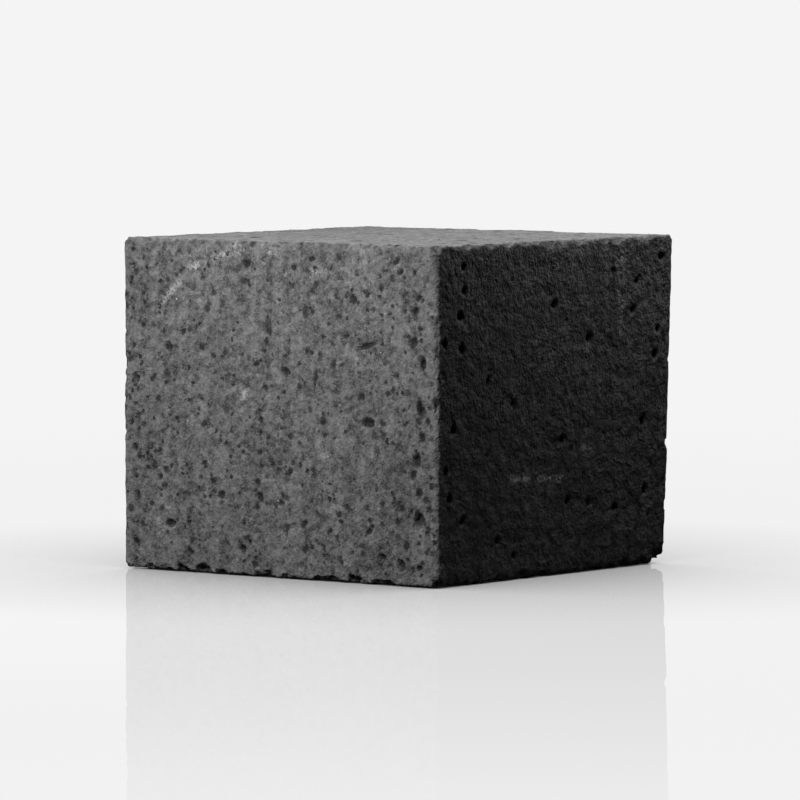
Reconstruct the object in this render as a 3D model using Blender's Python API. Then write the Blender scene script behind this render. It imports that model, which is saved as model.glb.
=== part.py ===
"""A pressed charcoal briquette: ground charcoal and starch, squeezed as a soft bar through a square die,
cut to length with a blade, then dried and fired. It is one solid block, porous all over.

Units are metres. +Z runs along the squeeze. The blade's two cuts are the top and the bottom, the block
stands on the bottom one, and the origin is the middle of that face."""

import math

import bmesh
import bpy
import numpy as np
from mathutils import Euler, Matrix, Vector

SIDE = 0.025  # the square bar, after it has shrunk in drying
HEIGHT = 0.021  # the length that the blade cut
LEAN = 0.0009  # how far the +Y face draws in at the bottom, where the blade dragged the soft bar
ARRIS_RADIUS = 0.0003  # the die's rounded corners, along the four upright edges
ARRIS_STEPS = 3
RIM_WEAR = 0.00018  # the narrow worn slope round each cut
MM = 0.001

# Open pores, left by trapped air and lost grains. The die drags the paste, so they crowd beside the arrises.
# The front and the right face have theirs one by one: millimetres right of the face's middle and above it,
# and the radius.
KNOWN_PORES = {
    "front": (
        (11.1, 7.2, 0.20), (10.7, 6.4, 0.28), (11.2, 5.3, 0.20), (10.6, 4.5, 0.33), (11.4, 3.2, 0.32),
        (11.2, 0.4, 0.42), (11.8, -0.3, 0.22), (11.3, -1.3, 0.28), (10.9, -2.7, 0.36), (10.6, -3.6, 0.24),
        (11.1, -6.3, 0.40), (9.7, -9.2, 0.32), (8.2, -8.8, 0.27), (9.4, -6.5, 0.24), (9.3, 9.5, 0.25),
        (9.6, 8.8, 0.22), (5.9, 7.0, 0.33), (7.1, -0.5, 0.36), (6.6, 1.0, 0.20), (5.4, 4.7, 0.24),
        (2.7, 9.5, 0.22), (1.3, 8.9, 0.20), (-2.4, 9.0, 0.27), (0.6, 2.4, 0.32), (-1.8, 2.8, 0.24),
        (-1.3, -0.7, 0.24), (-1.4, -2.7, 0.20), (-1.4, -5.5, 0.29), (0.3, -5.8, 0.23), (-4.5, -5.5, 0.25),
        (-9.5, -4.6, 0.25), (-11.4, -5.8, 0.28), (-8.7, 3.6, 0.30), (-7.6, 4.6, 0.22), (-11.4, 1.5, 0.25),
        (-11.5, -2.8, 0.22), (-8.6, -7.5, 0.30), (-2.8, -8.8, 0.25), (2.1, -7.0, 0.24), (-3.6, 1.5, 0.18),
        (-11.7, 8.7, 0.24), (-11.7, 3.6, 0.22), (-11.8, -1.2, 0.22), (-11.4, -8.9, 0.24), (11.1, -4.7, 0.26),
        (9.7, -5.7, 0.20), (11.1, -9.3, 0.24), (4.4, 2.9, 0.22), (1.0, -3.8, 0.20), (-7.0, -9.2, 0.20),
    ),
    "right": (
        (3.5, 4.2, 0.26), (9.5, -1.3, 0.30), (-4.5, 0.4, 0.24), (0.7, -2.0, 0.25), (-10.1, 6.0, 0.30),
        (-9.9, 4.0, 0.26), (10.9, 4.5, 0.24), (10.6, 2.9, 0.28), (8.2, 5.8, 0.24), (-7.2, 2.0, 0.22),
        (9.9, -5.7, 0.26), (-0.3, 6.4, 0.24), (1.4, -5.9, 0.22), (8.5, 7.6, 0.22), (-11.2, -5.1, 0.26),
        (5.9, 8.4, 0.20), (-9.8, 9.1, 0.22), (6.6, -6.6, 0.22), (-10.8, -0.9, 0.25), (-6.1, -7.9, 0.22),
        (-9.7, 7.6, 0.24), (-11.7, 4.4, 0.22), (11.1, 9.1, 0.22), (-11.6, -3.4, 0.24), (-9.8, -6.5, 0.26),
        (-7.2, -2.6, 0.20), (3.7, -6.1, 0.20), (-4.3, -9.0, 0.20),
    ),
}

# Short cracks in the front face: right, above, half the length, half the width, and the turn in degrees.
CRACKS = ((7.0, 4.2, 0.95, 0.16, 18), (7.2, -7.2, 0.45, 0.15, 42), (3.0, 2.0, 0.85, 0.12, 86))
CRACK_DEPTH = 1.4  # in half widths

# The other faces have pores of the same kind, placed by a rule.
PORE_SEED = 31
BAND_FROM_ARRIS = (0.0009, 0.0024)
BAND_PORES = 7  # beside each arris, on each side face
FIELD_PORES = 18  # over the rest of each side face
CUT_PORES = 34  # on each cut face
PORE_RADIUS = (0.00018, 0.00038)
PORE_CLEAR = 0.0004  # the least wall between two pores
PORE_MARGIN = 0.0009  # pores keep this far from the edges of a face
PORE_STRETCH = (1.0, 1.3)

# Crumbs lost from the edges: many along the blade's cuts, a few along the smoother arrises.
CRUMB_SEED = 47
RIM_CRUMBS = 10  # for each rim edge, in each round
CRUMB_ROUNDS = 2
CRUMB_RADIUS = (0.00014, 0.00056)
CRUMB_CLEAR = 0.0001  # the least gap between two crumbs of one round
CRUMB_RISE = (-0.05, 0.45)  # how far a crumb's centre stands off the edge, in radii
LUMP_STRETCH = (0.8, 1.3)  # a lost crumb's three radii, against its size
CORNER_CLEAR = 0.0022  # crumbs keep this far from the corners
CORNER_RADIUS = (0.0004, 0.0007)
ARRIS_NICKS = 5  # for each arris
NICK_RADIUS = (0.00020, 0.00036)
NICK_RISE = 0.5  # in radii

# Chips along the edges of the cuts: the cut, the side, millimetres along the edge, and the radius. The last
# four are larger, where the blade left the edge weak. The first of these rounds a corner.
CHIPS = (
    ("top", "front", 4.1, 0.50), ("top", "front", -7.1, 0.36), ("bottom", "front", -10.3, 0.40),
    ("bottom", "front", -1.5, 0.46), ("bottom", "front", 4.1, 0.44), ("bottom", "front", 8.4, 0.38),
    ("top", "right", -3.4, 0.36), ("top", "right", -9.3, 0.32), ("top", "right", 6.6, 0.32),
    ("bottom", "right", 13.1, 1.75), ("bottom", "back", -6.8, 1.25), ("top", "left", 4.1, 1.05),
    ("bottom", "left", 9.4, 1.40),
)
CHIP_RISE = 0.35  # in radii
CHIP_LENGTH = 1.7  # along the edge, in radii
CHIP_ROUGHNESS = 0.16

# Each face's outward normal and the direction to the right for someone who looks straight at it.
FACES = {
    "front": (Vector((0, -1, 0)), Vector((1, 0, 0))),
    "right": (Vector((1, 0, 0)), Vector((0, 1, 0))),
    "back": (Vector((0, 1, 0)), Vector((-1, 0, 0))),
    "left": (Vector((-1, 0, 0)), Vector((0, -1, 0))),
    "top": (Vector((0, 0, 1)), Vector((1, 0, 0))),
    "bottom": (Vector((0, 0, -1)), Vector((1, 0, 0))),
}
SIDES = ("front", "right", "back", "left")
CUTS = ("top", "bottom")
CENTRE = Vector((0, 0, HEIGHT / 2))
CHAR = (0.052, 0.052, 0.054, 1.0)
CHAR_ROUGHNESS = 0.88


def clear_scene():
    for old in list(bpy.data.objects):
        bpy.data.objects.remove(old)


def new_collection(name):
    made = bpy.data.collections.new(name)
    bpy.context.scene.collection.children.link(made)
    return made


def char_material():
    made = bpy.data.materials.new("fired_charcoal")
    made.use_nodes = True
    shader = made.node_tree.nodes["Principled BSDF"]
    shader.inputs["Base Color"].default_value = CHAR
    shader.inputs["Roughness"].default_value = CHAR_ROUGHNESS
    shader.inputs["Metallic"].default_value = 0.0
    return made


def face_depth(name):
    """Half the block's thickness along a face's normal."""
    return HEIGHT / 2 if name in CUTS else SIDE / 2


def face_size(name):
    return (SIDE, SIDE) if name in CUTS else (SIDE, HEIGHT)


def face_frame(name, u, v):
    """A matrix at the point u to the right and v up from a face's middle, with its Z pointing outwards."""
    normal, right = FACES[name]
    up = normal.cross(right)
    place = CENTRE + normal * face_depth(name) + right * u + up * v
    turn = Matrix((right, up, normal)).transposed()
    return Matrix.Translation(place) @ turn.to_4x4()


def draw_in(bm):
    """The lean: a point moves towards -Y, by LEAN at the foot of the +Y face, less above and nearer -Y."""
    for vert in bm.verts:
        low = 1 - vert.co.z / HEIGHT
        far = vert.co.y / SIDE + 0.5
        vert.co.y -= LEAN * low * far


def object_of(bm, name, collection):
    mesh = bpy.data.meshes.new(name)
    bm.to_mesh(mesh)
    bm.free()
    made = bpy.data.objects.new(name, mesh)
    collection.objects.link(made)
    return made


def squeezed_bar(collection):
    """The cut length of bar: a box with rounded arrises and a narrow slope round each cut."""
    bm = bmesh.new()
    bmesh.ops.create_cube(bm, size=1.0)
    bmesh.ops.scale(bm, vec=(SIDE, SIDE, HEIGHT), verts=bm.verts)
    bmesh.ops.translate(bm, vec=CENTRE, verts=bm.verts)
    upright = [e for e in bm.edges if abs(e.verts[0].co.z - e.verts[1].co.z) > HEIGHT / 2]
    bmesh.ops.bevel(
        bm, geom=upright, offset=ARRIS_RADIUS, segments=ARRIS_STEPS, profile=0.5, affect="EDGES"
    )
    cut_faces = [f for f in bm.faces if abs(f.normal.z) > 0.9]
    rims = list({e for f in cut_faces for e in f.edges})
    bmesh.ops.bevel(bm, geom=rims, offset=RIM_WEAR, segments=1, profile=0.5, affect="EDGES")
    draw_in(bm)
    return object_of(bm, "briquette", collection)


def ruled_pores(rng, name):
    """Pores on one face by the rule, none touching another: rows of u, v and radius."""
    wide, high = face_size(name)
    banded = 2 * BAND_PORES if name in SIDES else 0
    wanted = banded + FIELD_PORES if name in SIDES else CUT_PORES
    pores = []
    while len(pores) < wanted:
        radius = rng.uniform(*PORE_RADIUS)
        u, v = rng.uniform(-0.5, 0.5, 2) * (wide - 2 * PORE_MARGIN, high - 2 * PORE_MARGIN)
        from_arris = rng.uniform(*BAND_FROM_ARRIS)
        if len(pores) < banded:
            u = math.copysign(wide / 2 - from_arris, len(pores) % 2 - 0.5)
        if all(math.hypot(a - u, b - v) > r + radius + PORE_CLEAR for a, b, r in pores):
            pores.append((u, v, radius))
    return pores


def bite(bm, place, radii, turn):
    """Adds one angular lump to a cutter: a turned icosahedron, stretched to three radii."""
    size = Matrix.Diagonal((*radii, 1.0))
    bmesh.ops.create_icosphere(bm, subdivisions=1, radius=1.0, matrix=place @ size @ turn)


def any_turn(rng):
    return Euler(rng.uniform(0, 2 * math.pi, 3)).to_matrix().to_4x4()


def pore_cutter(collection):
    rng = np.random.default_rng(PORE_SEED)
    bm = bmesh.new()
    for name in FACES:
        known = [(u * MM, v * MM, radius * MM) for u, v, radius in KNOWN_PORES.get(name, ())]
        for u, v, radius in known or ruled_pores(rng, name):
            stretch = rng.uniform(*PORE_STRETCH)
            place = face_frame(name, u, v) @ Matrix.Rotation(rng.uniform(0, math.pi), 4, "Z")
            bite(bm, place, (radius * stretch, radius / stretch, radius), any_turn(rng))
    for u, v, half_length, half_width, turn in CRACKS:
        place = face_frame("front", u * MM, v * MM) @ Matrix.Rotation(math.radians(turn), 4, "Z")
        bite(bm, place, (half_length * MM, half_width * MM, CRACK_DEPTH * half_width * MM), Matrix())
    draw_in(bm)
    return object_of(bm, "pores", collection)


def edge_place(cut, side, along, rise):
    """A point by a rim edge, rise off it along the slope between the cut and the side."""
    outwards = (FACES[cut][0] + FACES[side][0]).normalized()
    corner = CENTRE + FACES[cut][0] * HEIGHT / 2 + FACES[side][0] * SIDE / 2
    return corner + FACES[side][1] * along + outwards * rise


def spaced(rng, count, span, radii):
    """Places along an edge, each with a radius, none touching another."""
    found = []
    while len(found) < count:
        along = rng.uniform(-0.5, 0.5) * span
        radius = rng.uniform(*radii)
        if all(abs(along - a) > LUMP_STRETCH[1] * (radius + r) + CRUMB_CLEAR for a, r in found):
            found.append((along, radius))
    return found


def crumb_cutter(rng, number, collection):
    """One round of crumbs along the eight rim edges. The next round overlaps it, as ragged edges do."""
    bm = bmesh.new()
    for cut in CUTS:
        for side in SIDES:
            for along, radius in spaced(rng, RIM_CRUMBS, SIDE - 2 * CORNER_CLEAR, CRUMB_RADIUS):
                rise = radius * rng.uniform(*CRUMB_RISE)
                place = Matrix.Translation(edge_place(cut, side, along, rise))
                bite(bm, place, radius * rng.uniform(*LUMP_STRETCH, 3), any_turn(rng))
    draw_in(bm)
    return object_of(bm, f"rim_crumbs_{number}", collection)


def nick_cutter(collection):
    """Nicks along the four arrises, and the loss of a crumb or two at each of the eight corners."""
    rng = np.random.default_rng(CRUMB_SEED + 1)
    bm = bmesh.new()
    for x_sign in (-1, 1):
        for y_sign in (-1, 1):
            corner = Vector((x_sign, y_sign, 0))
            edge = CENTRE + corner * (SIDE / 2 - ARRIS_RADIUS * (1 - math.sqrt(0.5)))
            nicks = spaced(rng, ARRIS_NICKS, HEIGHT - 2 * CORNER_CLEAR, NICK_RADIUS)
            ends = [(end * HEIGHT / 2, rng.uniform(*CORNER_RADIUS)) for end in (-1, 1)]
            for along, radius in nicks + ends:
                place = edge + corner.normalized() * radius * NICK_RISE + Vector((0, 0, along))
                bite(bm, Matrix.Translation(place), radius * rng.uniform(*LUMP_STRETCH, 3), any_turn(rng))
    draw_in(bm)
    return object_of(bm, "arris_nicks", collection)


def chip_cutter(collection):
    rng = np.random.default_rng(CRUMB_SEED + 2)
    bm = bmesh.new()
    for cut, side, along, radius in CHIPS:
        place = Matrix.Translation(edge_place(cut, side, along * MM, CHIP_RISE * radius * MM))
        lengthened = Vector((1.0, 1.0, 1.0)) + (CHIP_LENGTH - 1) * Vector(map(abs, FACES[side][1]))
        size = Matrix.Diagonal((*(radius * MM * lengthened), 1.0))
        lump = bmesh.ops.create_icosphere(bm, subdivisions=2, radius=1.0, matrix=place @ size @ any_turn(rng))
        for vert in lump["verts"]:
            vert.co += (vert.co - place.translation) * rng.uniform(-CHIP_ROUGHNESS, CHIP_ROUGHNESS)
    draw_in(bm)
    return object_of(bm, "edge_chips", collection)


def cut_away(body, cutter):
    """Takes a cutter's lumps out of the block."""
    cutter.hide_render = True
    cutter.display_type = "WIRE"
    cut = body.modifiers.new(cutter.name, "BOOLEAN")
    cut.operation = "DIFFERENCE"
    cut.solver = "EXACT"
    cut.object = cutter


def main():
    clear_scene()
    parts = new_collection("charcoal_briquette")
    cutters = new_collection("cutters")
    block = squeezed_bar(parts)
    block.data.materials.append(char_material())
    rng = np.random.default_rng(CRUMB_SEED)
    for number in range(CRUMB_ROUNDS):
        cut_away(block, crumb_cutter(rng, number, cutters))
    for make_cutter in (nick_cutter, chip_cutter, pore_cutter):
        cut_away(block, make_cutter(cutters))


main()
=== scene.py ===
"""A pressed charcoal briquette: ground charcoal and starch, squeezed as a soft bar through a square die, cut
to length with a blade, dried and fired. Metres, +Z along the squeeze, standing on the blade's lower cut."""

import math

import bpy
import numpy as np
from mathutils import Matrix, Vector


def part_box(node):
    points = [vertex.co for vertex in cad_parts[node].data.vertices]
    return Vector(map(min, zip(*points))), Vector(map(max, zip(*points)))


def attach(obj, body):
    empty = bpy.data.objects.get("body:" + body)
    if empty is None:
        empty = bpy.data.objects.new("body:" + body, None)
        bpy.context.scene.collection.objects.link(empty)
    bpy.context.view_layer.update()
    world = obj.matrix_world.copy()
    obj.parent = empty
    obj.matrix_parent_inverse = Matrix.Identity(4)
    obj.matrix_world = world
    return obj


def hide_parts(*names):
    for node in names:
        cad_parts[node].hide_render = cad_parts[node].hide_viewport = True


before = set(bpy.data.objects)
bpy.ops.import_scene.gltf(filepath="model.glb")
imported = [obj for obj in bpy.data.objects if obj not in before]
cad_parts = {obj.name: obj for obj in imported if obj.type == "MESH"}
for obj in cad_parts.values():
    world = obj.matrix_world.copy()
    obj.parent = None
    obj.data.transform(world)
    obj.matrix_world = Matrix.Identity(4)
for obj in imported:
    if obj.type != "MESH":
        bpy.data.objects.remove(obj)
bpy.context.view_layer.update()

# The bar
# The die gives the soft bar four flat sides and round upright arrises, and a blade cuts it to length. Its
# skin is made as one closed lattice over all six faces. The blade dragged the foot of the +Y face inwards.
low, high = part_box("briquette")
SIDE = high.x - low.x
HEIGHT = high.z - low.z
HALF = np.array((SIDE, SIDE, HEIGHT)) / 2
LEAN = 0.0009  # how far the foot of the +Y face is dragged in
ARRIS_RADIUS = 0.0003
RIM_WEAR = 0.00018  # radius that wear has given the rims of the two cuts
LINES = {"wide": 138, "high": 112}  # lattice cells across a face
CROWDING = 0.42  # how much closer together the lines are towards the edges, from 0 to 1
WELD = 1e-7  # the grid on which points of two faces along one edge are one point
TINY = 1e-12  # keeps a length above zero where it divides
MM = 0.001

# Each face's outward normal and the direction to the right for someone who looks straight at it.
FACES = {
    "front": ((0, -1, 0), (1, 0, 0)),
    "right": ((1, 0, 0), (0, 1, 0)),
    "back": ((0, 1, 0), (-1, 0, 0)),
    "left": ((-1, 0, 0), (0, -1, 0)),
    "top": ((0, 0, 1), (1, 0, 0)),
    "bottom": ((0, 0, -1), (1, 0, 0)),
}
FACES = {name: np.array((n, r, np.cross(n, r)), float) for name, (n, r) in FACES.items()}
SIDES = ("front", "right", "back", "left")
CUTS = ("top", "bottom")


def lattice_lines(half, count):
    """Places of the lattice lines from -half to half: evenly spaced numbers, mixed with the sines of evenly
    spaced angles, which crowd towards both ends."""
    even = np.linspace(-1, 1, count + 1)
    return half * ((1 - CROWDING) * even + CROWDING * np.sin(even * math.pi / 2))


def face_grid(name):
    """One face of the sharp box round the origin: the middle of the face, plus u times its right, plus v
    times its up. Also gives each point's share of the way across and up the face."""
    normal, right, up = FACES[name]
    across = lattice_lines(SIDE / 2, LINES["wide"])
    upwards = lattice_lines(*((SIDE / 2, LINES["wide"]) if name in CUTS else (HEIGHT / 2, LINES["high"])))
    u, v = np.meshgrid(across, upwards, indexing="ij")
    depth = np.abs(normal) @ HALF
    points = normal * depth + u[..., None] * right + v[..., None] * up
    return points, np.stack((u / SIDE + 0.5, v / SIDE + 0.5), axis=-1)


def cells_of(rows, columns, first):
    """The four corners of every cell of a grid whose points are numbered row by row from first."""
    numbers = first + np.arange(rows * columns).reshape(rows, columns)
    around = numbers[:-1, :-1], numbers[1:, :-1], numbers[1:, 1:], numbers[:-1, 1:]
    return np.stack(around, axis=-1).reshape(-1, 4)


def rounded(points):
    """Rounds the sharp box. Across the arrises, a point's offset from a core square, inset by the arris
    radius, is scaled by its larger part over its length, which turns square corners into arcs. Across the
    rims, the same is done to the point's reach beyond a core inset by the rim's wear, outwards and in
    height."""
    flat = points[:, :2]
    core = np.clip(flat, -(SIDE / 2 - ARRIS_RADIUS), SIDE / 2 - ARRIS_RADIUS)
    offset = flat - core
    length = np.maximum(np.hypot(*offset.T), TINY)
    outwards = offset / length[:, None]
    to_side = SIDE / 2 - np.abs(flat).max(axis=1)
    ringed = core + outwards * np.abs(offset).max(axis=1)[:, None]
    reach = np.maximum(RIM_WEAR - to_side, 0)
    rise = np.maximum(np.abs(points[:, 2]) - (HEIGHT / 2 - RIM_WEAR), 0)
    share = np.maximum(reach, rise) / np.maximum(np.hypot(reach, rise), TINY)
    share = np.where(np.minimum(reach, rise) > 0, share, 1.0)
    xy = ringed - outwards * (reach * (1 - share))[:, None]
    z = points[:, 2] - np.sign(points[:, 2]) * rise * (1 - share)
    return np.column_stack((xy, z))


grids = {name: face_grid(name) for name in FACES}
sharp, cells, shares, chart_of = [], [], [], []
for number, (points, share) in enumerate(grids.values()):
    first = sum(len(p) for p in sharp)
    cells.append(cells_of(*points.shape[:2], first))
    sharp.append(points.reshape(-1, 3))
    shares.append(share.reshape(-1, 2))
    chart_of.append(np.full(len(cells[-1]), number))
sharp, cells, shares, chart_of = map(np.concatenate, (sharp, cells, shares, chart_of))
steps = np.round(sharp / WELD).astype(np.int64)
_, kept, merged = np.unique(steps, axis=0, return_index=True, return_inverse=True)
corners = merged.reshape(-1)[cells]
bar = rounded(sharp[kept])

# The hollows
# Pores left by trapped air and lost grains crowd beside the arrises, where the die drags the paste. Crumbs
# break from the rims that the blade cut, a few nicks from the arrises, and four larger chips from weak edges.
# They lie where the solid has them: the same places, sizes and seeded draws.

# Pores of known place on a face: how far right of its middle and above it, and the radius, in mm.
KNOWN_PORES = {
    "front": (
        (11.1, 7.2, 0.20), (10.7, 6.4, 0.28), (11.2, 5.3, 0.20), (10.6, 4.5, 0.33), (11.4, 3.2, 0.32),
        (11.2, 0.4, 0.42), (11.8, -0.3, 0.22), (11.3, -1.3, 0.28), (10.9, -2.7, 0.36), (10.6, -3.6, 0.24),
        (11.1, -6.3, 0.40), (9.7, -9.2, 0.32), (8.2, -8.8, 0.27), (9.4, -6.5, 0.24), (9.3, 9.5, 0.25),
        (9.6, 8.8, 0.22), (5.9, 7.0, 0.33), (7.1, -0.5, 0.36), (6.6, 1.0, 0.20), (5.4, 4.7, 0.24),
        (2.7, 9.5, 0.22), (1.3, 8.9, 0.20), (-2.4, 9.0, 0.27), (0.6, 2.4, 0.32), (-1.8, 2.8, 0.24),
        (-1.3, -0.7, 0.24), (-1.4, -2.7, 0.20), (-1.4, -5.5, 0.29), (0.3, -5.8, 0.23), (-4.5, -5.5, 0.25),
        (-9.5, -4.6, 0.25), (-11.4, -5.8, 0.28), (-8.7, 3.6, 0.30), (-7.6, 4.6, 0.22), (-11.4, 1.5, 0.25),
        (-11.5, -2.8, 0.22), (-8.6, -7.5, 0.30), (-2.8, -8.8, 0.25), (2.1, -7.0, 0.24), (-3.6, 1.5, 0.18),
        (-11.7, 8.7, 0.24), (-11.7, 3.6, 0.22), (-11.8, -1.2, 0.22), (-11.4, -8.9, 0.24), (11.1, -4.7, 0.26),
        (9.7, -5.7, 0.20), (11.1, -9.3, 0.24), (4.4, 2.9, 0.22), (1.0, -3.8, 0.20), (-7.0, -9.2, 0.20),
    ),
    "right": (
        (3.5, 4.2, 0.26), (9.5, -1.3, 0.30), (-4.5, 0.4, 0.24), (0.7, -2.0, 0.25), (-10.1, 6.0, 0.30),
        (-9.9, 4.0, 0.26), (10.9, 4.5, 0.24), (10.6, 2.9, 0.28), (8.2, 5.8, 0.24), (-7.2, 2.0, 0.22),
        (9.9, -5.7, 0.26), (-0.3, 6.4, 0.24), (1.4, -5.9, 0.22), (8.5, 7.6, 0.22), (-11.2, -5.1, 0.26),
        (5.9, 8.4, 0.20), (-9.8, 9.1, 0.22), (6.6, -6.6, 0.22), (-10.8, -0.9, 0.25), (-6.1, -7.9, 0.22),
        (-9.7, 7.6, 0.24), (-11.7, 4.4, 0.22), (11.1, 9.1, 0.22), (-11.6, -3.4, 0.24), (-9.8, -6.5, 0.26),
        (-7.2, -2.6, 0.20), (3.7, -6.1, 0.20), (-4.3, -9.0, 0.20),
    ),
}
# Cracks on the front: right of its middle, above it, half the length and half the width, in mm, and the turn
# in degrees.
CRACKS = ((7.0, 4.2, 0.95, 0.16, 18), (7.2, -7.2, 0.45, 0.15, 42), (3.0, 2.0, 0.85, 0.12, 86))
CRACK_DEPTH = 1.4  # in half widths
PORE_SEED = 31
BAND_FROM_ARRIS = (0.0009, 0.0024)  # how far from an arris the crowded pores lie
BAND_PORES = 7  # crowded pores beside each arris of a side
FIELD_PORES = 18  # pores anywhere on a side
CUT_PORES = 34  # pores on a cut
PORE_RADIUS = (0.00018, 0.00038)
PORE_CLEAR = 0.0004  # least gap between two pores
PORE_MARGIN = 0.0009  # least distance of a pore's middle from its face's edges
PORE_STRETCH = (1.0, 1.3)
CRUMB_SEED = 47
RIM_CRUMBS = 10  # crumbs along a rim in each round
CRUMB_ROUNDS = 2
CRUMB_RADIUS = (0.00014, 0.00056)
CRUMB_CLEAR = 0.0001
CRUMB_RISE = (-0.05, 0.45)  # how far off the rim a crumb's middle lies, in its radii
LUMP_STRETCH = (0.8, 1.3)
CORNER_CLEAR = 0.0022  # crumbs and nicks keep this far from a rim's or arris's ends
CORNER_RADIUS = (0.0004, 0.0007)
ARRIS_NICKS = 5
NICK_RADIUS = (0.00020, 0.00036)
NICK_RISE = 0.5
# Larger chips: the cut and the side that meet there, the place along their rim and the radius, in mm.
CHIPS = (
    ("top", "front", 4.1, 0.50), ("top", "front", -7.1, 0.36), ("bottom", "front", -10.3, 0.40),
    ("bottom", "front", -1.5, 0.46), ("bottom", "front", 4.1, 0.44), ("bottom", "front", 8.4, 0.38),
    ("top", "right", -3.4, 0.36), ("top", "right", -9.3, 0.32), ("top", "right", 6.6, 0.32),
    ("bottom", "right", 13.1, 1.75), ("bottom", "back", -6.8, 1.25), ("top", "left", 4.1, 1.05),
    ("bottom", "left", 9.4, 1.40),
)
CHIP_RISE = 0.35
CHIP_LENGTH = 1.7  # a chip's length along the rim, in widths
CORE_INSET = 0.0022  # points move inwards towards a core box inset by this
TABLE = 61  # random values along each edge of the noise's table
RAGGED = 0.32  # how far a hollow's outline wanders, in its radii
NEARBY = 2.2  # the reach that is looked at round a hollow, in its radii
BAY = 0.00034  # size of the larger bays in a hollow's outline
BAY_SEEDS = (1, 2, 3)


def ruled_pores(rng, name):
    """Pores on one face, none touching another: rows of right, up and radius."""
    size = np.array((SIDE, SIDE if name in CUTS else HEIGHT))
    banded = 2 * BAND_PORES if name in SIDES else 0
    wanted = banded + FIELD_PORES if name in SIDES else CUT_PORES
    pores = []
    while len(pores) < wanted:
        radius = rng.uniform(*PORE_RADIUS)
        u, v = rng.uniform(-0.5, 0.5, 2) * (size - 2 * PORE_MARGIN)
        from_arris = rng.uniform(*BAND_FROM_ARRIS)
        if len(pores) < banded:
            u = math.copysign(size[0] / 2 - from_arris, len(pores) % 2 - 0.5)
        if all(math.hypot(a - u, b - v) > r + radius + PORE_CLEAR for a, b, r in pores):
            pores.append((u, v, radius))
    return pores


def spaced(rng, count, span, radii):
    """Places along an edge, each with a radius, none touching another."""
    found = []
    while len(found) < count:
        along = rng.uniform(-0.5, 0.5) * span
        radius = rng.uniform(*radii)
        if all(abs(along - a) > LUMP_STRETCH[1] * (radius + r) + CRUMB_CLEAR for a, r in found):
            found.append((along, radius))
    return found


def hollow_on(name, u, v, turn, radii):
    """A hollow with its middle on a face: its middle, its three axes turned on the face, and its radii."""
    normal, right, up = FACES[name]
    along = math.cos(turn) * right + math.sin(turn) * up
    middle = normal * (np.abs(normal) @ HALF) + u * right + v * up
    return middle, np.array((along, np.cross(normal, along), normal)), np.array(radii)


def edge_place(cut, side, along, rise):
    """A point by a rim, rise off it along the slope between the cut and the side."""
    (cut_out, _, _), (side_out, right, _) = FACES[cut], FACES[side]
    on_rim = cut_out * HEIGHT / 2 + side_out * SIDE / 2 + right * along
    return on_rim + (cut_out + side_out) * rise * math.sqrt(0.5)


def draw_turn(rng):
    """The solid also turns the facets of each hollow by three random angles. The hollows here have none, and
    this only keeps their draws in step with the solid's."""
    rng.random(3)


pores = []
rng = np.random.default_rng(PORE_SEED)
for name in FACES:
    known = [(u * MM, v * MM, radius * MM) for u, v, radius in KNOWN_PORES.get(name, ())]
    for u, v, radius in known or ruled_pores(rng, name):
        stretch, turn = rng.uniform(*PORE_STRETCH), rng.uniform(0, math.pi)
        draw_turn(rng)
        pores.append(hollow_on(name, u, v, turn, (radius * stretch, radius / stretch, radius)))
for u, v, half_length, half_width, turn in CRACKS:
    radii = np.array((half_length, half_width, CRACK_DEPTH * half_width)) * MM
    pores.append(hollow_on("front", u * MM, v * MM, math.radians(turn), radii))

losses = []
upright = np.eye(3)
rng = np.random.default_rng(CRUMB_SEED)
for _ in range(CRUMB_ROUNDS):
    for cut in CUTS:
        for side in SIDES:
            for along, radius in spaced(rng, RIM_CRUMBS, SIDE - 2 * CORNER_CLEAR, CRUMB_RADIUS):
                middle = edge_place(cut, side, along, radius * rng.uniform(*CRUMB_RISE))
                losses.append((middle, upright, radius * rng.uniform(*LUMP_STRETCH, 3)))
                draw_turn(rng)
rng = np.random.default_rng(CRUMB_SEED + 1)
for x_sign in (-1, 1):
    for y_sign in (-1, 1):
        corner = np.array((x_sign, y_sign, 0))
        edge = corner * (SIDE / 2 - ARRIS_RADIUS * (1 - math.sqrt(0.5)))
        nicks = spaced(rng, ARRIS_NICKS, HEIGHT - 2 * CORNER_CLEAR, NICK_RADIUS)
        ends = [(end * HEIGHT / 2, rng.uniform(*CORNER_RADIUS)) for end in (-1, 1)]
        for along, radius in nicks + ends:
            middle = edge + corner * math.sqrt(0.5) * radius * NICK_RISE + (0, 0, along)
            losses.append((middle, upright, radius * rng.uniform(*LUMP_STRETCH, 3)))
            draw_turn(rng)
for cut, side, along, radius in CHIPS:
    lengthened = 1 + (CHIP_LENGTH - 1) * np.abs(FACES[side][1])
    middle = edge_place(cut, side, along * MM, CHIP_RISE * radius * MM)
    losses.append((middle, upright, radius * MM * lengthened))


def wander(points, size, seed):
    """Smooth noise from -1 to 1: a random value at each corner of a lattice of cubes of this size, blended
    inside each cube by the smooth steps t*t*(3 - 2*t) of the point's place in it."""
    table = np.random.default_rng(seed).uniform(-1, 1, (TABLE, TABLE, TABLE))
    scaled = points / size
    cube = np.floor(scaled).astype(int)
    step = scaled - cube
    step = step * step * (3 - 2 * step)
    total = np.zeros(len(points))
    for corner in np.ndindex(2, 2, 2):
        weight = np.prod(np.where(corner, step, 1 - step), axis=1)
        total += weight * table[tuple(((cube + corner) % TABLE).T)]
    return total


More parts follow.
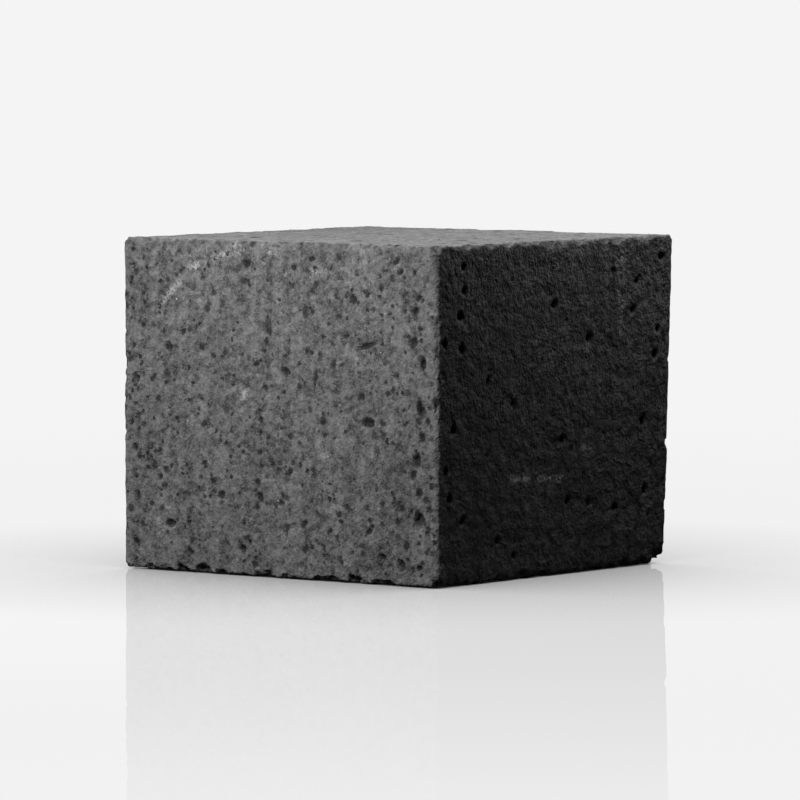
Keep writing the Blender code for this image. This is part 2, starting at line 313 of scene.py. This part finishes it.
def sunk(points, inwards, sway, hollows):
    """How far each point moves inwards to line the hollows. A point inside a hollow goes on to its far wall:
    the larger root of the squared distance from the hollow's middle, measured in its own radii, being 1.
    Also gives how far inside the outline of a hollow each point is: 1 less the distance from its middle in
    its radii, so 0 on the outline."""
    depth, within = np.zeros(len(points)), np.full(len(points), -1.0)
    for middle, axes, radii in hollows:
        near = np.flatnonzero(np.abs(points - middle).max(axis=1) < NEARBY * radii.max())
        ruler = axes / radii[:, None]
        start = (points[near] - middle + RAGGED * radii.min() * sway[near]) @ ruler.T
        travel = inwards[near] @ ruler.T
        a, b, c = (travel**2).sum(1), (start * travel).sum(1), (start**2).sum(1) - 1
        inside = c < 0
        wall = (-b + np.sqrt(np.maximum(b * b - a * c, 0))) / a
        depth[near] = np.maximum(depth[near], np.where(inside, wall, 0))
        within[near] = np.maximum(within[near], 1 - np.sqrt(c + 1))
    return depth, within


inwards = np.clip(bar, -(HALF - CORE_INSET), HALF - CORE_INSET) - bar
inwards /= np.linalg.norm(inwards, axis=1)[:, None]
sway = [wander(bar, BAY, seed) + 0.5 * wander(bar, BAY / 2, seed + len(BAY_SEEDS)) for seed in BAY_SEEDS]
sway = np.column_stack(sway)
pore_depth, in_pore = sunk(bar, inwards, sway, pores)
loss_depth, in_loss = sunk(bar, inwards, sway, losses)

# The grain of the pressed surface
# The paste is ground shell charcoal of a few tenths of a millimetre. The die smears the four sides nearly
# smooth, the blade tears the two cuts a little more, and along the rims whole grains have gone.
SIDE_RELIEF = 0.00003
CUT_RELIEF = 0.00004
CUT_REACH = 0.0002  # how far from a cut its tearing fades
SWELL_RELIEF = 0.00007
RIM_RELIEF = 0.00006
RIM_REACH = 0.00055  # how far from a rim or an arris its roughness fades
ARRIS_SHARE = 0.25  # how much of the rims' roughness the smoother arrises have
COARSE, FINE, SWELL = (0.00052, 11), (0.00026, 12), (0.0021, 13)  # sizes and seeds


def fading(distance, reach):
    """1 at no distance, and exp(-(distance / reach)^2) further off."""
    return np.exp(-((distance / reach) ** 2))


def bumps(size, seed):
    """The smooth noise at the bar's points, from 0 to 1."""
    return 0.5 + 0.5 * wander(bar, size, seed)


to_side = SIDE / 2 - np.abs(bar[:, :2])
to_cut = HEIGHT / 2 - np.abs(bar[:, 2])
by_rim = fading(np.hypot(to_side.min(axis=1), to_cut), RIM_REACH)
by_arris = fading(np.hypot(*to_side.T), RIM_REACH) * ARRIS_SHARE
grain = bumps(*COARSE) + bumps(*FINE)
relief = (SIDE_RELIEF + (CUT_RELIEF - SIDE_RELIEF) * fading(to_cut, CUT_REACH)) * grain
relief += SWELL_RELIEF * bumps(*SWELL)
relief += RIM_RELIEF * np.maximum(by_rim, by_arris) * grain
skin = bar + inwards * (np.maximum(pore_depth, loss_depth) + relief)[:, None]
skin[:, 2] += HEIGHT / 2
skin[:, 1] -= LEAN * (1 - skin[:, 2] / HEIGHT) * (skin[:, 1] / SIDE + 0.5)

mesh = bpy.data.meshes.new("briquette_skin")
mesh.vertices.add(len(skin))
mesh.vertices.foreach_set("co", skin.astype(np.float32).ravel())
mesh.loops.add(corners.size)
mesh.loops.foreach_set("vertex_index", corners.astype(np.int32).ravel())
mesh.polygons.add(len(corners))
mesh.polygons.foreach_set("loop_start", np.arange(0, corners.size, 4, dtype=np.int32))
mesh.update(calc_edges=True)
mesh.shade_smooth()

# Rubs: the face, the places of the two ends, right of its middle and above it, and the width, in mm, and how
# much it lightens.
RUBS = (
    ("front", (-9.4, 6.4), (-7.8, 7.7), 0.22, 1.2), ("front", (-6.9, 8.5), (-6.4, 8.9), 0.28, 1.4),
    ("front", (-5.6, 9.2), (-3.9, 9.6), 0.20, 1.0), ("front", (-3.2, 10.0), (-2.9, 9.8), 0.26, 1.2),
    ("front", (-0.6, 9.8), (-0.1, 9.8), 0.30, 1.0), ("front", (2.8, 8.7), (3.4, 8.8), 0.30, 0.9),
    ("front", (-2.7, 0.9), (-2.6, 0.8), 0.24, 1.6), ("front", (3.3, -2.1), (3.8, -2.7), 0.28, 0.9),
    ("front", (-9.6, -7.5), (-8.3, -7.6), 0.22, 0.8), ("front", (-7.0, -0.6), (-6.9, -0.8), 0.22, 0.8),
    ("right", (-4.7, -4.2), (-2.8, -4.3), 0.18, 5.0), ("right", (-1.7, -4.4), (0.8, -4.4), 0.17, 5.5),
    ("right", (2.9, -2.7), (3.7, -2.8), 0.28, 2.0), ("right", (6.8, 9.4), (7.0, 4.6), 0.34, 1.3),
    ("right", (4.6, 4.0), (4.8, 0.5), 0.30, 0.4), ("right", (7.9, 7.0), (8.1, 1.0), 0.25, 0.5),
)


def rubbed(points):
    """How rubbed each point is by the strongest rub there: its strength, fading with the distance to the
    straight line between its ends, and 0 off its own face."""
    most = np.zeros(len(points))
    for name, start, end, width, strength in RUBS:
        normal, right, up = FACES[name]
        on_face = points @ normal > np.abs(normal) @ HALF - ARRIS_RADIUS
        spot = np.column_stack((points @ right, points @ up)) / MM - start
        run = np.subtract(end, start)
        along = np.clip(spot @ run / (run @ run), 0, 1)
        distance = np.hypot(*(spot - along[:, None] * run).T)
        most = np.maximum(most, strength * fading(distance, width) * on_face)
    return most


EDGE_REACH = 0.0004  # how far from an edge its painted highlight fades
BAND_REACH = 0.0023  # how far from an arris its crowd of pores fades

# The distance to the second nearest face is small along every edge.
to_edge = np.partition(np.column_stack((to_side, to_cut)), 1, axis=1)[:, 1]
for name, values in (
    ("pore", in_pore),
    ("broken", in_loss),
    ("edge", fading(to_edge, EDGE_REACH)),
    ("band", fading(to_side.max(axis=1), BAND_REACH)),
    ("rubbed", rubbed(bar)),
):
    attribute = mesh.attributes.new(name, "FLOAT", "POINT")
    attribute.data.foreach_set("value", values.astype(np.float32))

# The faces lie side by side in the unit square, three across and two up, each in its own margin.
MARGIN = 0.02
ACROSS = 3
chart = np.column_stack((chart_of % ACROSS, chart_of // ACROSS))[:, None, :]
placed = (chart + MARGIN + (1 - 2 * MARGIN) * shares[cells]) / ACROSS
uv = mesh.uv_layers.new(name="OFBake")
uv.data.foreach_set("uv", placed.astype(np.float32).ravel())
briquette = bpy.data.objects.new("briquette_skin", mesh)
bpy.context.scene.collection.objects.link(briquette)

# The finish of the charcoal
# Fired shell charcoal is a sooty, nearly matt grey-black. Each grain has its own tone, small pores between
# them are darkened with painted shade, and a few clean broken grains glint, by less roughness and by a
# painted glint in their colour. The die's drag leaves faint upright streaks.
JAG, JAG_DEPTH = 0.00022, 0.0003  # size and depth of the jags in a grain's outline
DRAG = 0.09  # a streak's width over its length
STREAK, BLOTCH, MOTTLE, DUST = 0.0009, 0.0026, 0.0006, 0.00012  # sizes of the clouds of tone
GRAIN, SPECK = {"size": 0.0003, "seed": 0.1}, {"size": 0.00014, "seed": 0.4}
UNEVEN = 0.0009  # size of the unevenness that is too shallow for the skin
LARGE_PITS = {"size": 0.0009, "seed": 0.3, "rare": 0.42, "radius": 0.38}
SMALL_PITS = {"size": 0.00045, "seed": 0.6, "rare": 0.55, "radius": 0.42}
LEAST_PIT = 0.35  # radius of the smallest pits, over that of the largest
PIT_CROWDING = 0.42  # how much the grains beside an arris gain in the choice of those with a pit
PIT_PATCHES = 0.24  # and those on the paler blotches
PIT_CHOICE = 0.03  # over how much of a grain's number the choice is made
PIT_FRAY = 0.16  # how far the mottle moves a pit's outline, in its radii
PIT_EDGE = (0.4, 1.1)  # where a pit's floor and its rim end, in its radii
GLINT = {"size": 0.0009, "seed": 0.7}
GLINT_EDGE = (0.05, 0.09)  # how far from its grain's middle a glint ends, in sizes
GLINT_RARE = (0.955, 0.965)  # over how much of a grain's number it gets a glint
CHAR = 0.047  # reflectance of the charcoal at tone 1
SOOT = 0.005  # and the least that it has anywhere
PAINTED_GLINT = 0.13  # and the painted glint that a glint adds to it
BUMP, BUMP_DEPTH = 0.85, 0.00004  # strength, and metres for each unit of height
MATT, GLINT_POLISH = 0.84, 0.4  # roughness, and how much less of it a glint has
SPECULAR = 0.18  # low, as soot is
POWDERY = 0.6  # roughness of its matt scatter


class Tone:
    """A value in a recipe's nodes. Sums and products of tones and plain numbers add their Math nodes."""

    def __init__(self, recipe, socket):
        self.recipe, self.socket = recipe, socket

    def maths(self, operation, *values):
        return self.recipe.node("ShaderNodeMath", {"operation": operation}, dict(enumerate(values)))

    def __add__(self, other):
        return self.maths("ADD", self, other)

    def __mul__(self, other):
        return self.maths("MULTIPLY", self, other)

    def __sub__(self, other):
        return self.maths("SUBTRACT", self, other)

    def __rsub__(self, other):
        return self.maths("SUBTRACT", other, self)

    def __truediv__(self, other):
        return self.maths("DIVIDE", self, other)

    __radd__, __rmul__ = __add__, __mul__

    def at_least(self, least):
        return self.maths("MAXIMUM", self, least)

    def ramp(self, start, end, bottom=0.0, top=1.0):
        """From bottom to top, smoothly, as the tone goes from start to end."""
        return self.recipe.node(
            "ShaderNodeMapRange",
            {"interpolation_type": "SMOOTHSTEP"},
            {"Value": self, "From Min": start, "From Max": end, "To Min": bottom, "To Max": top},
        )


class Recipe:
    """The nodes of a material, or of the world."""

    def __init__(self, owner):
        owner.use_nodes = True
        self.owner, self.tree = owner, owner.node_tree
        self.tree.nodes.clear()

    def node(self, kind, settings=None, sockets=None, out=0):
        """Adds a node: its settings first, then the values or links of its sockets. Gives its output as a
        tone."""
        made = self.tree.nodes.new(kind)
        for key, value in (settings or {}).items():
            setattr(made, key, value)
        for key, value in (sockets or {}).items():
            if isinstance(value, Tone):
                self.tree.links.new(value.socket, made.inputs[key])
            else:
                made.inputs[key].default_value = value
        return Tone(self, made.outputs[out]) if made.outputs else None


char = Recipe(bpy.data.materials.new("fired_charcoal"))
place = char.node("ShaderNodeTexCoord", out="Object")


def shifted(vector, factor, added):
    """A vector times a factor, plus another vector."""
    return char.node("ShaderNodeVectorMath", {"operation": "MULTIPLY_ADD"}, {0: vector, 1: factor, 2: added})


def cloud(size, detail, rough, vector=place, out="Fac"):
    """Soft noise whose largest shapes are about this size, in metres."""
    sockets = {"Vector": vector, "Scale": 1 / size, "Detail": detail, "Roughness": rough}
    return char.node("ShaderNodeTexNoise", {}, sockets, out)


def measured(name):
    """A value that the mesh holds for each point."""
    return char.node("ShaderNodeAttribute", {"attribute_name": name}, out="Fac")


jagged = shifted(cloud(JAG, 3, 0.65, out="Color"), (JAG_DEPTH,) * 3, place)


def grains(size, seed):
    """Ragged grains about this size: the distance from each one's middle, in sizes, and two numbers of its
    own."""
    sockets = {"Vector": shifted(jagged, (1.0, 1.0, 1.0), (seed, seed, seed)), "Scale": 1 / size}
    numbers = char.node("ShaderNodeTexVoronoi", {}, sockets, "Color")
    pick = (char.node("ShaderNodeSeparateColor", {}, {"Color": numbers}, hue) for hue in ("Red", "Green"))
    return char.node("ShaderNodeTexVoronoi", {}, sockets, "Distance"), *pick


# Each cloud has its size, detail and roughness. As its noise goes from the first number of the ramp to the
# second, the tone goes from the third to the fourth.
pore, broken, edge, band, rub = map(measured, ("pore", "broken", "edge", "band", "rubbed"))
dragged = shifted(place, (1.0, 1.0, DRAG), (0.0, 0.0, 0.0))
streaks = cloud(STREAK, 3, 0.6, dragged).ramp(0.35, 0.65, -1, 1)
blotches = cloud(BLOTCH, 3, 0.6).ramp(0.35, 0.65, -1, 1)
mottle = cloud(MOTTLE, 4, 0.8).ramp(0.37, 0.57, -1.2, 0.7)
dust = cloud(DUST, 3, 0.75).ramp(0.36, 0.64, -1, 1)
uneven = cloud(UNEVEN, 4, 0.65)
_, grain_tone, grain_rise = grains(**GRAIN)
_, speck_tone, _ = grains(**SPECK)


def pits(size, seed, rare, radius):
    """Pits in the grains whose first number is above rare, and in more of them beside the arrises and on the
    paler blotches: 1 inside, 0 outside. A grain's second number gives its pit's share of the radius and the
    depth."""
    distance, first, second = grains(size, seed)
    kept = (first + PIT_CROWDING * band + PIT_PATCHES * blotches).ramp(rare, rare + PIT_CHOICE)
    share = LEAST_PIT + (1 - LEAST_PIT) * second
    inside = (distance / (radius * share) + PIT_FRAY * mottle).ramp(*PIT_EDGE, 1, 0)
    return inside * kept * (0.5 + 0.5 * second)


def frayed(within, dusty, mottled, start, end):
    """From 0 outside a hollow to 1 inside it, its outline moved by shares of the dust and the mottle."""
    return (within + dusty * dust + mottled * mottle).ramp(start, end)


# The pores get painted shade: open_pore darkens the colour inside their outlines.
open_pore = frayed(pore, 0.24, 0.15, -0.25, 0.25)
# The broken hollows along the rims and arrises get painted shade: lost darkens the colour in them.
lost = frayed(broken, 0.16, 0.1, -0.1, 0.3)
# The pits get painted shade: pit darkens the colour inside them.
pit = pits(**LARGE_PITS).at_least(pits(**SMALL_PITS))
glint_from, glint_kept, _ = grains(**GLINT)
glint = glint_from.ramp(*GLINT_EDGE, 1, 0) * glint_kept.ramp(*GLINT_RARE)

# Each pattern, with how much it lightens the charcoal, how much it takes away, or how high it stands.
# The edge lightening is a painted highlight along every edge.
LIGHTENS = (
    (0.28, mottle), (0.2, dust), (0.16, streaks), (0.13, blotches), (0.6, grain_tone - 0.5),
    (0.36, speck_tone - 0.5), (0.45, grain_rise.ramp(0.94, 0.98)), (0.18, edge),
)
DARKENS = ((0.85, pit), (0.88, open_pore), (0.3, lost), (0.06, band))
RAISES = (
    (12, uneven), (0.4, mottle), (0.1, dust), (0.5, grain_rise), (0.2, grain_tone),
    (-2.0, pit), (-1.0, open_pore),
)
tone = 1.0
for share, pattern in LIGHTENS:
    tone = tone + share * pattern
tone = tone + rub * (0.8 + 0.9 * mottle + 0.5 * dust).at_least(0)  # a rub takes the grains that stand out
for share, pattern in DARKENS:
    tone = tone * (1 - share * pattern)
height = 0.0
for share, pattern in RAISES:
    height = height + share * pattern

# A glint adds a painted glint to the base colour, besides its real lower roughness.
shade = (tone * CHAR).at_least(SOOT) + glint * PAINTED_GLINT
colour = char.node("ShaderNodeCombineColor", {}, {"Red": shade, "Green": shade, "Blue": shade})
normal = char.node("ShaderNodeBump", {}, {"Strength": BUMP, "Distance": BUMP_DEPTH, "Height": height})
shader = char.node(
    "ShaderNodeBsdfPrincipled",
    {},
    {
        "Base Color": colour,
        "Roughness": MATT - GLINT_POLISH * glint,
        "Specular IOR Level": SPECULAR,
        "Diffuse Roughness": POWDERY,
        "Normal": normal,
    },
)
char.node("ShaderNodeOutputMaterial", {}, {"Surface": shader})
mesh.materials.append(char.owner)
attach(briquette, "root")
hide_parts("briquette")

# The floor
# A smooth white surface. Its gloss mirrors the block at flat angles alone, and it fades with distance into
# the white of the room. Its glow is for the camera: the block gets its light from the lamps and the room.
FLOOR_RADIUS = 1.5
STEPS = 96  # points round the floor's edge
FLOOR = 0.012  # reflectance, low because the glow makes the floor white
GLOW = 0.86
CONTACT = 1.0  # how much of the glow a painted contact shadow takes under the block's edge
CONTACT_REACH = 0.03
POLISH = 1.027  # refractive index of the gloss
WHITE = 0.905  # brightness of the room
FADE = (0.04, 0.2)  # where the floor starts and ends its fade, from the block's middle

turn = np.linspace(0, 2 * math.pi, STEPS, endpoint=False)
disc = FLOOR_RADIUS * np.column_stack((np.cos(turn), np.sin(turn), np.zeros(STEPS)))
floor_mesh = bpy.data.meshes.new("floor")
floor_mesh.from_pydata(disc.tolist(), [], [list(range(STEPS))])
floor = bpy.data.objects.new("floor", floor_mesh)
bpy.context.scene.collection.objects.link(floor)
ground = Recipe(bpy.data.materials.new("white_floor"))
seen = ground.node("ShaderNodeLightPath", out="Is Camera Ray")
matt = ground.node("ShaderNodeBsdfDiffuse", {}, {"Color": (FLOOR, FLOOR, FLOOR, 1.0)})
contact = ground.node("ShaderNodeAmbientOcclusion", {"samples": 4}, {"Distance": CONTACT_REACH}, "AO")
# Near the block its occlusion dims the glow: a painted contact shadow.
glow = ground.node("ShaderNodeEmission", {}, {"Strength": seen * GLOW * (1 - CONTACT + CONTACT * contact)})
bright = ground.node("ShaderNodeAddShader", {}, {0: matt, 1: glow})
mirror = ground.node("ShaderNodeBsdfGlossy", {}, {"Color": (1.0, 1.0, 1.0, 1.0), "Roughness": 0.0})
gloss = ground.node("ShaderNodeFresnel", {}, {"IOR": POLISH})
polished = ground.node("ShaderNodeMixShader", {}, {0: gloss, 1: bright, 2: mirror})
spot = ground.node("ShaderNodeTexCoord", out="Object")
away = ground.node("ShaderNodeVectorMath", {"operation": "LENGTH"}, {0: spot}, "Value").ramp(*FADE)
distant = ground.node("ShaderNodeEmission", {}, {"Strength": seen * WHITE})
surface = ground.node("ShaderNodeMixShader", {}, {0: away, 1: polished, 2: distant})
ground.node("ShaderNodeOutputMaterial", {}, {"Surface": surface})
floor_mesh.materials.append(ground.owner)

# Light and camera
# A small softbox close to the front and high up, a weaker one over the right face, a large one behind, and an
# even fill from the white room. The camera stands a little above the block's middle and looks at an arris.
LAMPS = {
    "front_softbox": {"towards": (0.045, -0.83, 0.55), "away": 0.075, "size": 0.018, "power": 0.146},
    "right_softbox": {"towards": (0.4, 0.34, 0.85), "away": 0.045, "size": 0.012, "power": 0.026},
    "back_softbox": {"towards": (-0.55, 0.62, 0.56), "away": 0.3, "size": 0.2, "power": 0.9},
}
FILL = 0.028  # brightness of the room as the block sees it
MIRROR_BOUNCES = (2.4, 2.6)  # a path by the floor's mirror sees the room as the camera does for two bounces
AZIMUTH, ELEVATION = 37.6, 3.5
CAMERA_AWAY = 0.427
LENS = 303.0
CLIP = (0.01, 10.0)

middle = Vector((0, 0, HEIGHT / 2))


def aim(thing, direction, away):
    """Puts a lamp or the camera this far from the block's middle in a direction, looking back at it."""
    direction = Vector(direction).normalized()
    bpy.context.scene.collection.objects.link(thing)
    thing.location = middle + direction * away
    thing.rotation_euler = (-direction).to_track_quat("-Z", "Y").to_euler()


for name, lamp in LAMPS.items():
    softbox = bpy.data.lights.new(name, "AREA")
    softbox.shape = "SQUARE"
    softbox.size, softbox.energy = lamp["size"], lamp["power"]
    placed_lamp = bpy.data.objects.new(name, softbox)
    placed_lamp.visible_camera = False
    aim(placed_lamp, lamp["towards"], lamp["away"])

camera_data = bpy.data.cameras.new("camera")
camera_data.lens = LENS
camera_data.clip_start, camera_data.clip_end = CLIP
camera = bpy.data.objects.new("camera", camera_data)
azimuth, elevation = math.radians(AZIMUTH), math.radians(ELEVATION)
flat = math.cos(elevation)
aim(camera, (math.sin(azimuth) * flat, -math.cos(azimuth) * flat, math.sin(elevation)), CAMERA_AWAY)
bpy.context.scene.camera = camera

# The camera, straight or by the floor's mirror, sees the room as white. It lights the block more weakly.
room = Recipe(bpy.data.worlds.new("white_room"))
ways = ("Is Camera Ray", "Is Singular Ray", "Ray Depth")
direct, mirrored, bounces = (room.node("ShaderNodeLightPath", out=way) for way in ways)
strength = FILL + (WHITE - FILL) * direct.at_least(mirrored * bounces.ramp(*MIRROR_BOUNCES, 1, 0))
backdrop = room.node("ShaderNodeBackground", {}, {"Color": (1.0, 1.0, 1.0, 1.0), "Strength": strength})
room.node("ShaderNodeOutputWorld", {}, {"Surface": backdrop})
bpy.context.scene.world = room.owner
bpy.context.scene.view_settings.view_transform = "Standard"
